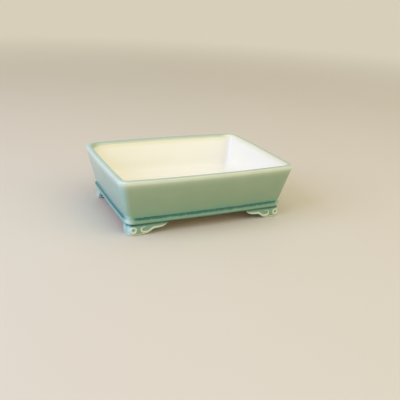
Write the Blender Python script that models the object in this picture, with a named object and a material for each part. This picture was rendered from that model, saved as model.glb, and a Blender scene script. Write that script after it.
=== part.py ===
"""Rectangular bonsai pot on four scroll feet, slab built from clay pieces.

Metres, +Z up. The pot stands on z = 0 with its length along X and its front towards -Y.
Plan sizes are taken at the rim, and an inset is a distance inwards from the rim's outline.
"""
import math

import bmesh
import bpy

# Driving dimensions of the tray
RIM_LENGTH = 0.150
RIM_WIDTH = 0.1096
HEIGHT = 0.047
WALL_FLARE = 0.234
WALL_THICKNESS = 0.0049
RIM_ROUNDING = 0.0013
LONG_SIDE_BOW = 0.0022
SHORT_SIDE_BOW = 0.0008
BASE_BOW_SHARE = 0.5
RIM_CORNER_RADIUS = 0.0085
BASE_CORNER_RADIUS = 0.005
INNER_CORNER_RADIUS = 0.006
BASE_SHIFT_X = 0.0006
FLOOR_THICKNESS = 0.0052
REBATE_DEPTH = 0.001
JOINT_GAP = 0.0003

# Driving dimensions of the bead round the foot of the walls
BEAD_HEIGHT = 0.0043
BEAD_DEPTH = 0.0019
BEAD_BACK_INSET = 0.0081
BEAD_CORNER_RADIUS = 0.0075
BEAD_SQUARENESS = 0.6
BEAD_UNDERCUT_ANGLE = math.radians(65)

# Driving dimensions of the holes in the floor
DRAIN_HOLE_DIAMETER = 0.013
DRAIN_HOLE_SPACING = 0.066
WIRE_HOLE_DIAMETER = 0.0035
WIRE_HOLE_SPACING_X = 0.092
WIRE_HOLE_SPACING_Y = 0.046

# Driving dimensions of a foot, measured along its faces from its outer corner
FOOT_HEIGHT = 0.0098
FOOT_INSET_X = 0.0071
FOOT_INSET_Y = 0.0081
FEET_SHIFT_X = 0.0013
FOOT_THICKNESS = 0.005
FOOT_CORNER_RADIUS = 0.0052
BULGE_SHARE = 0.35
TOP_TUCK = 0.0012
SOLE_TUCK = 0.0004
HEEL = 0.0135
TAIL_TIP = 0.0337
TAIL_END_HEIGHT = 0.0008
HEEL_RISE = 0.0043
HEEL_RISE_LENGTH = 0.009
TAIL_SWEEP_POWER = 7
SHORT_ARM_FLAT = 0.0078
SHORT_ARM_LENGTH = 0.0116
SHORT_ARM_END_ANGLE = math.radians(82)

# Driving dimensions of the scrolls laid on the feet
COIL_HALF_WIDTH = 0.00095
COIL_TIP_SHARE = 0.5
TAIL_HALF_WIDTH = 0.0013
TAIL_SETTLE_LENGTH = 0.004
TAIL_TAPER_POWER = 4
SCROLL_HEIGHT_SHARE = 0.5
RING_ALONG = 0.0049
RING_RADIUS = 0.0021
CURL_ALONG = 0.0134
CURL_RADIUS = 0.0022
SCROLL_CENTRE_HEIGHT = 0.0047
CURL_START_ANGLE = math.radians(55)
CURL_END_ANGLE = math.radians(270)

# Fineness of the surfaces
CORNER_STEPS = 5
LONG_SIDE_STEPS = 12
SHORT_SIDE_STEPS = 8
ROUNDING_STEPS = 3
BEAD_STEPS = 6
FOOT_FACE_STEPS = 6
FOOT_CORNER_STEPS = 4
TAIL_STEPS = 18
SHORT_ARM_STEPS = 8
COIL_SECTION_STEPS = 6
RING_STEPS = 24
CURL_STEPS = 14
HOLE_SIDES = 48
WELD_DISTANCE = 0.000001
SHARP_ANGLE = math.radians(40)

# Heights that follow from the driving dimensions
FLOOR_UNDERSIDE = FOOT_HEIGHT + JOINT_GAP
LEDGE_HEIGHT = FLOOR_UNDERSIDE + FLOOR_THICKNESS - REBATE_DEPTH
WALL_FOOT = LEDGE_HEIGHT + JOINT_GAP
FLOOR_TOP = FLOOR_UNDERSIDE + FLOOR_THICKNESS

# Colours as linear red, green, blue and alpha
CELADON = (0.23, 0.32, 0.20, 1.0)
DEEP_CELADON = (0.16, 0.28, 0.19, 1.0)
PALE_CELADON = (0.52, 0.57, 0.37, 1.0)
CREAM_WHITE = (0.86, 0.83, 0.70, 1.0)
GLAZE_ROUGHNESS = 0.18
SATIN_ROUGHNESS = 0.45


def mix(start, end, share):
    """Value that lies the given share of the way from start to end."""
    return start + (end - start) * share


def smooth_step(value):
    """Ease from 0 to 1 with level ends."""
    value = min(max(value, 0.0), 1.0)
    return value * value * (3.0 - 2.0 * value)


def wall_inset(height):
    """Inset of the flared outer wall face at a height."""
    return WALL_FLARE * (HEIGHT - height)


def rim_share(height):
    """0 at the foot of the wall and 1 at the rim."""
    return (height - WALL_FOOT) / (HEIGHT - WALL_FOOT)


def bow_share(height):
    """Share of the rim's bow that a side still has at a height."""
    return mix(BASE_BOW_SHARE, 1.0, rim_share(max(height, WALL_FOOT)))


def base_shift(height):
    """Shift along X of the tray at a height, nil at the rim and full from the foot of the wall down."""
    return BASE_SHIFT_X * (1 - rim_share(max(height, WALL_FOOT)))


def side_plan(half_along, half_out, radius, bow, steps):
    """Plan of one side between its two corner mitres, as points along it and outwards."""
    centre_along = half_along - radius
    stop = math.pi / 4 - math.asin(JOINT_GAP / 2 / radius)
    turns = [stop * step / CORNER_STEPS for step in range(CORNER_STEPS, 0, -1)]
    corner = []
    for turn in turns:
        corner.append((centre_along + radius * math.sin(turn), half_out - radius * (1 - math.cos(turn))))
    spread = [mix(-1.0, 1.0, step / steps) for step in range(steps + 1)]
    middle = [(centre_along * place, half_out + bow * (1 - place * place)) for place in spread]
    return [(-along, out) for along, out in corner] + middle + corner[::-1]


def closed_plan(inset, radius, share, shift):
    """Whole outline of the tray at an inset, as points in X and Y, shifted along X."""
    half_x = RIM_LENGTH / 2 - inset
    half_y = RIM_WIDTH / 2 - inset
    front = side_plan(half_x, half_y, radius, LONG_SIDE_BOW * share, LONG_SIDE_STEPS)
    right = side_plan(half_y, half_x, radius, SHORT_SIDE_BOW * share, SHORT_SIDE_STEPS)
    outline = [(along, -out) for along, out in front]
    outline += [(out, along) for along, out in right]
    outline += [(-x, -y) for x, y in outline]
    return [(x + shift, y) for x, y in outline]


def loft(name, sections, closed=False):
    """Closed mesh body through a row of sections that have equal point counts."""
    body = bmesh.new()
    rows = [[body.verts.new(point) for point in section] for section in sections]
    following = rows[1:] + rows[:1] if closed else rows[1:]
    for near, far in zip(rows, following):
        for index in range(len(near)):
            after = (index + 1) % len(near)
            body.faces.new((near[index], near[after], far[after], far[index]))
    if not closed:
        body.faces.new(rows[0])
        body.faces.new(rows[-1])
    bmesh.ops.remove_doubles(body, verts=body.verts, dist=WELD_DISTANCE)
    bmesh.ops.recalc_face_normals(body, faces=body.faces)
    mesh = bpy.data.meshes.new(name)
    body.to_mesh(mesh)
    body.free()
    mesh.shade_smooth()
    mesh.set_sharp_from_angle(angle=SHARP_ANGLE)
    return mesh


def side_mesh(name, profile, half_along, half_out, bow, steps, turn):
    """Sweep a profile of inset, height and corner radius along one side, turned from the front about Z."""
    cosine = math.cos(turn)
    sine = math.sin(turn)
    plans = []
    for inset, height, radius in profile:
        plan = side_plan(half_along - inset, half_out - inset, radius, bow * bow_share(height), steps)
        row = []
        for along, out in plan:
            x = along * cosine + out * sine + base_shift(height)
            row.append((x, along * sine - out * cosine, height))
        plans.append(row)
    return loft(name, list(zip(*plans)))


def wall_profile():
    """Closed section of a wall as inset, height and corner radius."""
    section = [(0.0, WALL_FOOT)]
    for step in range(ROUNDING_STEPS + 1):
        turn = math.pi / 2 * step / ROUNDING_STEPS
        across = RIM_ROUNDING * (1 - math.cos(turn))
        section.append((across, HEIGHT - RIM_ROUNDING * (1 - math.sin(turn))))
    inner_edge = [(WALL_THICKNESS - across, height) for across, height in section[:0:-1]]
    section += inner_edge + [(WALL_THICKNESS, WALL_FOOT)]
    profile = []
    for across, height in section:
        outer_radius = mix(BASE_CORNER_RADIUS, RIM_CORNER_RADIUS, rim_share(height))
        radius = mix(outer_radius, INNER_CORNER_RADIUS, across / WALL_THICKNESS)
        profile.append((wall_inset(height) + across, height, radius))
    return profile


def bead_profile():
    """Closed section of the half-round bead as inset, height and corner radius."""
    half_height = BEAD_HEIGHT / (1 + math.sin(BEAD_UNDERCUT_ANGLE))
    middle = FLOOR_UNDERSIDE + BEAD_HEIGHT - half_height
    profile = [(BEAD_BACK_INSET, FLOOR_UNDERSIDE, INNER_CORNER_RADIUS)]
    for step in range(BEAD_STEPS):
        turn = mix(-BEAD_UNDERCUT_ANGLE, math.pi / 2, step / BEAD_STEPS)
        inset = BEAD_BACK_INSET - BEAD_DEPTH * math.cos(turn) ** BEAD_SQUARENESS
        profile.append((inset, middle + half_height * math.sin(turn), BEAD_CORNER_RADIUS))
    profile.append((BEAD_BACK_INSET, FLOOR_UNDERSIDE + BEAD_HEIGHT, INNER_CORNER_RADIUS))
    return profile


def floor_mesh():
    """Floor slab with a ledge round its edge on which the walls stand."""
    edge_inset = BEAD_BACK_INSET + JOINT_GAP
    step_inset = wall_inset(WALL_FOOT) + WALL_THICKNESS + JOINT_GAP
    levels = (
        (edge_inset, FLOOR_UNDERSIDE),
        (edge_inset, LEDGE_HEIGHT),
        (step_inset, LEDGE_HEIGHT),
        (step_inset, FLOOR_TOP),
    )
    sections = []
    for inset, height in levels:
        outline = closed_plan(inset, INNER_CORNER_RADIUS, BASE_BOW_SHARE, BASE_SHIFT_X)
        sections.append([(x, y, height) for x, y in outline])
    return loft("floor_slab", sections)


def face_inset(height):
    """Inset of the foot's face at a height, which bulges most below its middle."""
    share = height / FOOT_HEIGHT
    if share > BULGE_SHARE:
        return TOP_TUCK * ((share - BULGE_SHARE) / (1 - BULGE_SHARE)) ** 2
    return SOLE_TUCK * (1 - share / BULGE_SHARE) ** 2


def face_point(along, height, lift=0.0):
    """Point on the long face of a foot, which follows its rounded corner.

    The outer corner is at the origin, the long arm runs along +X and its face looks to -Y.
    """
    sink = face_inset(height) - lift
    turn = max(FOOT_CORNER_RADIUS - along, 0.0) / FOOT_CORNER_RADIUS
    reach = FOOT_CORNER_RADIUS - sink
    x = max(along, FOOT_CORNER_RADIUS) - reach * math.sin(turn)
    return (x, FOOT_CORNER_RADIUS - reach * math.cos(turn), height)


def swapped(point):
    """The same point on the short arm, which runs along +Y."""
    x, y, height = point
    return (y, x, height)


def tail_outline(along):
    """Height of the long arm's lower edge, flat to the heel and then an S up to the tip."""
    run = max(along - HEEL, 0.0)
    sweep = FOOT_HEIGHT - TAIL_END_HEIGHT - HEEL_RISE
    tail_rise = sweep * (run / (TAIL_TIP - HEEL)) ** TAIL_SWEEP_POWER
    return HEEL_RISE * smooth_step(run / HEEL_RISE_LENGTH) + tail_rise


def long_arm_stations():
    """Places along the long arm with the height of its lower edge, tip first."""
    places = [mix(TAIL_TIP, HEEL, step / TAIL_STEPS) for step in range(TAIL_STEPS + 1)]
    places += corner_places()
    return [(along, tail_outline(along)) for along in places]


def short_arm_stations():
    """Places along the short arm with the height of its lower edge, corner first."""
    stations = [(along, 0.0) for along in corner_places()[-2::-1]]
    for step in range(SHORT_ARM_STEPS + 1):
        turn = SHORT_ARM_END_ANGLE * step / SHORT_ARM_STEPS
        along = SHORT_ARM_FLAT + (SHORT_ARM_LENGTH - SHORT_ARM_FLAT) * math.sin(turn)
        stations.append((along, FOOT_HEIGHT * (1 - math.cos(turn))))
    return stations


def corner_places():
    """Places round one half of a foot's rounded corner, ending at its middle."""
    middle = FOOT_CORNER_RADIUS * (1 - math.pi / 4)
    shares = [step / FOOT_CORNER_STEPS for step in range(FOOT_CORNER_STEPS + 1)]
    return [mix(FOOT_CORNER_RADIUS, middle, share) for share in shares]


def foot_section(along, bottom):
    """Upright section of a foot: the bulging face, then the plain back."""
    heights = [mix(bottom, FOOT_HEIGHT, step / FOOT_FACE_STEPS) for step in range(FOOT_FACE_STEPS + 1)]
    back = max(along, FOOT_THICKNESS)
    section = [face_point(along, height) for height in heights]
    return section + [(back, FOOT_THICKNESS, FOOT_HEIGHT), (back, FOOT_THICKNESS, bottom)]


def foot_sections():
    """All sections of a foot, from the tip of the long arm to the end of the short arm."""
    sections = [foot_section(along, bottom) for along, bottom in long_arm_stations()]
    for along, bottom in short_arm_stations():
        sections.append([swapped(point) for point in foot_section(along, bottom)])
    return sections


def coil_sections(path, half_widths, closed=False):
    """Half-round sections of a clay coil laid along a path of along and height on a face."""
    sections = []
    count = len(path)
    for index, (along, height) in enumerate(path):
        before = path[index - 1] if closed or index > 0 else path[index]
        after = path[(index + 1) % count] if closed or index < count - 1 else path[index]
        heading = math.atan2(after[1] - before[1], after[0] - before[0])
        half_width = half_widths[index]
        section = []
        for step in range(COIL_SECTION_STEPS + 1):
            turn = math.pi * step / COIL_SECTION_STEPS
            side = half_width * math.cos(turn)
            lift = JOINT_GAP + half_width * SCROLL_HEIGHT_SHARE * math.sin(turn)
            place = along - side * math.sin(heading)
            section.append(face_point(place, height + side * math.cos(heading), lift))
        sections.append(section)
    return sections


def round_the_scroll(centre_along, radius, turn):
    """Place on a circle at the height of the scroll centres."""
    return (centre_along + radius * math.cos(turn), SCROLL_CENTRE_HEIGHT + radius * math.sin(turn))


def ring_sections():
    """Sections of the closed ring beside the corner."""
    turns = [2 * math.pi * step / RING_STEPS for step in range(RING_STEPS)]
    path = [round_the_scroll(RING_ALONG, RING_RADIUS, turn) for turn in turns]
    return coil_sections(path, [COIL_HALF_WIDTH] * RING_STEPS, closed=True)


def long_scroll_sections():
    """Sections of the curl that runs out along the lower edge of the tail."""
    path = []
    half_widths = []
    for step in range(CURL_STEPS + 1):
        turn = mix(CURL_START_ANGLE, CURL_END_ANGLE, step / CURL_STEPS)
        path.append(round_the_scroll(CURL_ALONG, CURL_RADIUS, turn))
        half_widths.append(COIL_HALF_WIDTH * mix(COIL_TIP_SHARE, 1.0, smooth_step(step / CURL_STEPS)))
    curl_bottom = SCROLL_CENTRE_HEIGHT - CURL_RADIUS
    last_along = TAIL_TIP - TAIL_HALF_WIDTH
    for step in range(1, TAIL_STEPS + 1):
        share = step / TAIL_STEPS
        along = mix(CURL_ALONG, last_along, share)
        settle = smooth_step((along - CURL_ALONG) / TAIL_SETTLE_LENGTH)
        path.append((along, tail_outline(along) + mix(curl_bottom, TAIL_HALF_WIDTH, settle)))
        taper = mix(1.0, COIL_TIP_SHARE, share ** TAIL_TAPER_POWER)
        half_widths.append(mix(COIL_HALF_WIDTH, TAIL_HALF_WIDTH, settle) * taper)
    return coil_sections(path, half_widths)


def handed(sections, hand):
    """Mirror sections across X for a foot of the other hand."""
    return [[(x * hand, y, height) for x, y, height in section] for section in sections]


def make_material(name, colour, roughness):
    """Principled material of one finish."""
    material = bpy.data.materials.new(name)
    material.use_nodes = True
    shader = material.node_tree.nodes["Principled BSDF"]
    shader.inputs["Base Color"].default_value = colour
    shader.inputs["Roughness"].default_value = roughness
    shader.inputs["Metallic"].default_value = 0.0
    material.diffuse_color = colour
    return material


def make_collection(name):
    """New collection in the scene."""
    collection = bpy.data.collections.new(name)
    bpy.context.scene.collection.children.link(collection)
    return collection


def add_object(name, mesh, collection, parent=None, location=(0.0, 0.0, 0.0), turn=0.0):
    """Place a mesh as a named object, turned about Z."""
    item = bpy.data.objects.new(name, mesh)
    item.location = location
    item.rotation_euler = (0.0, 0.0, turn)
    item.parent = parent
    collection.objects.link(item)
    return item


def add_material(mesh, material):
    """Give a mesh its finish and hand it back."""
    mesh.materials.append(material)
    return mesh


def add_sides(kind, profile, material, collection, parent):
    """Add the four sides of a mitred frame, such as the walls."""
    half_x = RIM_LENGTH / 2
    half_y = RIM_WIDTH / 2
    long_side = (half_x, half_y, LONG_SIDE_BOW, LONG_SIDE_STEPS)
    short_side = (half_y, half_x, SHORT_SIDE_BOW, SHORT_SIDE_STEPS)
    sides = (("front", long_side), ("right", short_side), ("back", long_side), ("left", short_side))
    for index, (side, sizes) in enumerate(sides):
        name = side + "_" + kind
        mesh = side_mesh(name, profile, *sizes, index * math.pi / 2)
        add_object(name, add_material(mesh, material), collection, parent)


def cut_hole(target, name, diameter, place, cutters):
    """Bore a round hole through the floor."""
    bpy.ops.mesh.primitive_cylinder_add(
        vertices=HOLE_SIDES, radius=diameter / 2, depth=2 * FLOOR_TOP, location=(*place, FLOOR_TOP)
    )
    cutter = bpy.context.object
    cutter.name = name
    cutter.hide_render = True
    cutter.display_type = "WIRE"
    for holder in list(cutter.users_collection):
        holder.objects.unlink(cutter)
    cutters.objects.link(cutter)
    bore = target.modifiers.new(name, "BOOLEAN")
    bore.operation = "DIFFERENCE"
    bore.solver = "EXACT"
    bore.object = cutter


def add_floor(material, collection, cutters, parent):
    """Add the floor slab with its drain holes and its holes for tie wires."""
    floor = add_object("floor_slab", add_material(floor_mesh(), material), collection, parent)
    for side in (-1, 1):
        drain_place = (side * DRAIN_HOLE_SPACING / 2, 0.0)
        cut_hole(floor, f"drain_bore_{side}", DRAIN_HOLE_DIAMETER, drain_place, cutters)
        for end in (-1, 1):
            wire_place = (side * WIRE_HOLE_SPACING_X / 2, end * WIRE_HOLE_SPACING_Y / 2)
            cut_hole(floor, f"wire_bore_{side}_{end}", WIRE_HOLE_DIAMETER, wire_place, cutters)


def add_feet(foot_material, scroll_material, collection, parent):
    """Add the four corner feet, each with the scrolls laid on its long face."""
    corner_x = RIM_LENGTH / 2 - FOOT_INSET_X
    corner_y = RIM_WIDTH / 2 - FOOT_INSET_Y
    pieces = (
        ("foot", foot_sections(), False, foot_material),
        ("ring_scroll", ring_sections(), True, scroll_material),
        ("long_scroll", long_scroll_sections(), False, scroll_material),
    )
    for hand, near_corner, far_corner in ((1, "front_left", "back_right"), (-1, "front_right", "back_left")):
        meshes = {}
        for kind, sections, closed, material in pieces:
            meshes[kind] = add_material(loft(kind, handed(sections, hand), closed), material)
        for corner, facing, turn in ((near_corner, 1, 0.0), (far_corner, -1, math.pi)):
            place = (FEET_SHIFT_X - hand * facing * corner_x, -facing * corner_y, 0.0)
            foot = add_object("foot_" + corner, meshes["foot"], collection, parent, place, turn)
            for kind in ("ring_scroll", "long_scroll"):
                add_object(f"{kind}_{corner}", meshes[kind], collection, foot)


def main():
    """Build the pot."""
    for item in list(bpy.data.objects):
        bpy.data.objects.remove(item)
    collection = make_collection("bonsai_pot")
    cutters = make_collection("cutters")
    pot = add_object("pot_origin", None, collection)
    wall_material = make_material("celadon_wall", CELADON, GLAZE_ROUGHNESS)
    bead_material = make_material("celadon_bead", DEEP_CELADON, GLAZE_ROUGHNESS)
    floor_material = make_material("cream_floor", CREAM_WHITE, SATIN_ROUGHNESS)
    foot_material = make_material("celadon_foot", CELADON, GLAZE_ROUGHNESS)
    scroll_material = make_material("pale_scroll", PALE_CELADON, GLAZE_ROUGHNESS)
    add_sides("wall", wall_profile(), wall_material, collection, pot)
    add_sides("base_bead", bead_profile(), bead_material, collection, pot)
    add_floor(floor_material, collection, cutters, pot)
    add_feet(foot_material, scroll_material, collection, pot)


main()
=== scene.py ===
"""Looks of a glazed bonsai pot on scroll feet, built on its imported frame.

Metres, +Z up. The pot stands on z = 0 with its length along X and its front towards -Y.
An inset is a distance inwards from the outline of the rim.
"""

import logging
import math
from dataclasses import dataclass
from enum import Enum
from typing import Any, ClassVar, Mapping, Optional, Sequence, Union

import bmesh
import bpy
import numpy as np
from mathutils import Matrix, Vector

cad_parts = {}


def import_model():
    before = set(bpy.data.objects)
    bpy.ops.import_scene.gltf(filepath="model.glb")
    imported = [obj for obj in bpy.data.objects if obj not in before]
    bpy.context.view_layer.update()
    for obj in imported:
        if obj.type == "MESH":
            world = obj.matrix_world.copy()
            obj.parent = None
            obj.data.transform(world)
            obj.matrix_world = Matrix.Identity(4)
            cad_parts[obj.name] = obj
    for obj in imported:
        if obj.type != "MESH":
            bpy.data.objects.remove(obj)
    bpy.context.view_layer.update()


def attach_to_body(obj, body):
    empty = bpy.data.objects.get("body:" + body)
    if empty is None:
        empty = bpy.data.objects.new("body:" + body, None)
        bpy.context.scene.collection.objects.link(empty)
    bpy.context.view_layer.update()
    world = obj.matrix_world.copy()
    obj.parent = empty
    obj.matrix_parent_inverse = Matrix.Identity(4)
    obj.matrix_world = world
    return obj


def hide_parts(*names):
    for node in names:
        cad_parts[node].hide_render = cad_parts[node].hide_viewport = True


LOG = logging.getLogger("bonsai_pot")
BODY = "root"
MM = 0.001
# Angle between two faces from which the edge between them stays sharp.
SHARP = math.radians(50)
# Most corners of a face along a mitred piece. Its two ends have more.
QUAD_CORNERS = 4
# Least length of a normal before it is scaled to 1.
TINY = 1e-12
# Mean of a noise.
NOISE_MIDDLE = 0.5

Colour = tuple[float, float, float, float]
Columns = Mapping[str, Sequence[float]]
ScrollLine = list[tuple[float, float, float]]
Value = Union["Field", bpy.types.NodeSocket, bpy.types.ID, float, int, str, bool, Sequence[float]]


def srgb(red: int, green: int, blue: int) -> Colour:
    """Linear colour of a display colour.

    Args:
        red: Red from 0 to 255.
        green: Green from 0 to 255.
        blue: Blue from 0 to 255.

    Returns:
        Linear red, green, blue and an alpha of 1.
    """
    shares = np.array((red, green, blue)) / 255.0
    linear = np.where(shares <= 0.04045, shares / 12.92, ((shares + 0.055) / 1.055) ** 2.4)
    return (float(linear[0]), float(linear[1]), float(linear[2]), 1.0)


def mix(start: float, end: float, share: float) -> float:
    """Value that lies the given share of the way from start to end."""
    return start + (end - start) * share


def smooth_step(value: float) -> float:
    """Ease from 0 to 1 with level ends."""
    value = min(max(value, 0.0), 1.0)
    return value * value * (3.0 - 2.0 * value)


class Side(Enum):
    """Sides of the tray, in turns of a quarter from the front."""

    FRONT = 0
    RIGHT = 1
    BACK = 2
    LEFT = 3

    @property
    def label(self) -> str:
        """Name of the side in the frame."""
        return self.name.lower()

    @property
    def turn(self) -> float:
        """Angle about Z from the front."""
        return self.value * math.pi / 2

    @property
    def is_long(self) -> bool:
        """True for the front and the back."""
        return self.value % 2 == 0


class Corner(Enum):
    """Corners of the tray, with the hand of their foot and the way it faces."""

    FRONT_LEFT = (1, 1)
    FRONT_RIGHT = (-1, 1)
    BACK_LEFT = (-1, -1)
    BACK_RIGHT = (1, -1)

    @property
    def label(self) -> str:
        """Name of the corner in the frame."""
        return self.name.lower()

    @property
    def hand(self) -> int:
        """1 where the long arm runs to the right of the corner, seen from its face."""
        return self.value[0]

    @property
    def facing(self) -> int:
        """1 at the front and -1 at the back."""
        return self.value[1]


class Slot(Enum):
    """Material slot names, one for each finish."""

    WALL = "celadon_wall"
    BEAD = "celadon_bead"
    FLOOR = "cream_floor"
    FOOT = "celadon_foot"


class Field:
    """Output socket of a node, for use in Python expressions."""

    def __init__(self, graph: "Graph", socket: bpy.types.NodeSocket) -> None:
        """Keep the socket and the graph that its maths goes into."""
        self.graph = graph
        self.socket = socket

    def __add__(self, other: Value) -> "Field":
        """Sum."""
        return self.graph.math("ADD", self, other)

    def __radd__(self, other: Value) -> "Field":
        """Sum with the value on the left."""
        return self.graph.math("ADD", other, self)

    def __sub__(self, other: Value) -> "Field":
        """Difference."""
        return self.graph.math("SUBTRACT", self, other)

    def __rsub__(self, other: Value) -> "Field":
        """Difference with the value on the left."""
        return self.graph.math("SUBTRACT", other, self)

    def __mul__(self, other: Value) -> "Field":
        """Product."""
        return self.graph.math("MULTIPLY", self, other)

    def __rmul__(self, other: Value) -> "Field":
        """Product with the value on the left."""
        return self.graph.math("MULTIPLY", other, self)

    def __truediv__(self, other: Value) -> "Field":
        """Quotient."""
        return self.graph.math("DIVIDE", self, other)

    def __rtruediv__(self, other: Value) -> "Field":
        """Quotient with the value on the left."""
        return self.graph.math("DIVIDE", other, self)

    def __pow__(self, other: Value) -> "Field":
        """Power."""
        return self.graph.math("POWER", self, other)

    def __neg__(self) -> "Field":
        """Negative."""
        return self.graph.math("MULTIPLY", self, -1.0)


class Graph:
    """Node tree that is written as Python expressions."""

    def __init__(self, tree: bpy.types.NodeTree) -> None:
        """Keep the tree that the nodes go into."""
        self.tree = tree

    def node(
        self,
        kind: str,
        settings: Optional[Mapping[str, Any]] = None,
        sockets: Optional[Mapping[Union[str, int], Value]] = None,
    ) -> bpy.types.Node:
        """Add a node.

        Args:
            kind: Type name of the node.
            settings: Properties, set first. The key stops gives a ramp's places and colours.
            sockets: Values or links by input name or number.

        Returns:
            The new node.
        """
        made = self.tree.nodes.new(kind)
        for name, value in (settings or {}).items():
            if name == "stops":
                self._set_stops(made.color_ramp, value)
            else:
                setattr(made, name, value)
        for key, value in (sockets or {}).items():
            self.plug(made.inputs[key], value)
        return made

    @staticmethod
    def _set_stops(ramp: bpy.types.ColorRamp, stops: Sequence[tuple[float, Colour]]) -> None:
        """Give a ramp its places and colours.

        Args:
            ramp: Ramp of a new node.
            stops: Places from 0 to 1 with their colours.
        """
        while len(ramp.elements) < len(stops):
            ramp.elements.new(1.0)
        for element, (place, colour) in zip(ramp.elements, stops):
            element.position = place
            element.color = colour

    def plug(self, socket: bpy.types.NodeSocket, value: Value) -> None:
        """Link or set an input.

        Args:
            socket: Input socket.
            value: Field or socket to link, or a plain value.
        """
        if isinstance(value, Field):
            self.tree.links.new(value.socket, socket)
        elif isinstance(value, bpy.types.NodeSocket):
            self.tree.links.new(value, socket)
        else:
            socket.default_value = value

    def field(
        self,
        kind: str,
        settings: Optional[Mapping[str, Any]] = None,
        sockets: Optional[Mapping[Union[str, int], Value]] = None,
        output: Union[str, int] = 0,
    ) -> Field:
        """Add a node and take one of its outputs.

        Args:
            kind: Type name of the node.
            settings: Properties, set first.
            sockets: Values or links by input name or number.
            output: Output name or number.

        Returns:
            The output as a field.
        """
        return Field(self, self.node(kind, settings, sockets).outputs[output])

    def math(self, operation: str, *values: Value) -> Field:
        """Number from a Math node."""
        return self.field("ShaderNodeMath", {"operation": operation}, dict(enumerate(values)))

    def vector_math(self, operation: str, *values: Value) -> Field:
        """Vector from a Vector Math node."""
        return self.field("ShaderNodeVectorMath", {"operation": operation}, dict(enumerate(values)))

    def vector(self, x: Value, y: Value, z: Value) -> Field:
        """Vector from three numbers."""
        return self.field("ShaderNodeCombineXYZ", None, {"X": x, "Y": y, "Z": z})

    def parts(self, vector: Value) -> tuple[Field, Field, Field]:
        """Three numbers of a vector."""
        made = self.node("ShaderNodeSeparateXYZ", None, {"Vector": vector})
        return tuple(Field(self, output) for output in made.outputs)

    def _climb(self, kind: str, value: Value, low: Value, high: Value) -> Field:
        """Climb of a kind from 0 at low to 1 at high, held at both ends."""
        sockets = {"Value": value, "From Min": low, "From Max": high}
        return self.field("ShaderNodeMapRange", {"interpolation_type": kind}, sockets)

    def smooth(self, value: Value, low: Value, high: Value) -> Field:
        """Ease from 0 at low to 1 at high, with level ends."""
        return self._climb("SMOOTHSTEP", value, low, high)

    def linear(self, value: Value, low: Value, high: Value) -> Field:
        """Straight climb from 0 at low to 1 at high."""
        return self._climb("LINEAR", value, low, high)

    def round_over(self, share: Value) -> Field:
        """Drop of a quarter circle, from 0 at a share of 0 to 1 at a share of 1."""
        return 1.0 - self.math("SQRT", 1.0 - share * share)

    def blend(self, start: Value, end: Value, share: Value) -> Field:
        """Number that lies a share of the way from start to end."""
        return self.field("ShaderNodeMix", {"data_type": "FLOAT"}, {0: share, 2: start, 3: end})

    def noise(self, place: Value, scale: float, detail: float = 0.0, output: str = "Fac") -> Field:
        """Smooth noise at a place, in cycles per metre."""
        sockets = {"Vector": place, "Scale": scale, "Detail": detail}
        return self.field("ShaderNodeTexNoise", None, sockets, output)


class Shader(Graph):
    """Material with a Principled surface."""

    def __init__(self, name: str, constants: Mapping[str, Value]) -> None:
        """Start a material.

        Args:
            name: Name of the finish.
            constants: Values of the Principled sockets that are the same all over.
        """
        self.material = bpy.data.materials.new(name)
        self.material.use_nodes = True
        super().__init__(self.material.node_tree)
        self.tree.nodes.clear()
        self.surface = self.node("ShaderNodeBsdfPrincipled", None, constants)
        self.output = self.node("ShaderNodeOutputMaterial", None, {"Surface": self.surface.outputs[0]})
        self.place = self.field("ShaderNodeTexCoord", output="Object")

    def attribute(self, name: str) -> Field:
        """Number stored on the piece's points."""
        return self.field("ShaderNodeAttribute", {"attribute_name": name}, output="Fac")

    def tint(self, start: Value, end: Value, share: Value, kind: str = "MIX") -> Field:
        """Colour that lies a share of the way from start to end, or to what end makes of it."""
        settings = {"data_type": "RGBA", "blend_type": kind}
        return self.field("ShaderNodeMix", settings, {0: share, 6: start, 7: end}, output=2)

    def ramp(self, value: Value, stops: Sequence[tuple[float, Colour]]) -> Field:
        """Colour from a row of stops."""
        return self.field("ShaderNodeValToRGB", {"stops": stops}, {"Fac": value}, output="Color")

    def bump(self, height: Value, depth: float, strength: float) -> Field:
        """Normal from a height, in a depth in metres."""
        sockets = {"Height": height, "Distance": depth, "Strength": strength}
        return self.field("ShaderNodeBump", None, sockets, "Normal")

    def wear(self, inputs: Mapping[str, Value]) -> bpy.types.Material:
        """Give the surface its look.

        Args:
            inputs: Values or links of the Principled sockets by name.

        Returns:
            The material.
        """
        for socket, value in inputs.items():
            self.plug(self.surface.inputs[socket], value)
        return self.material


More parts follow.
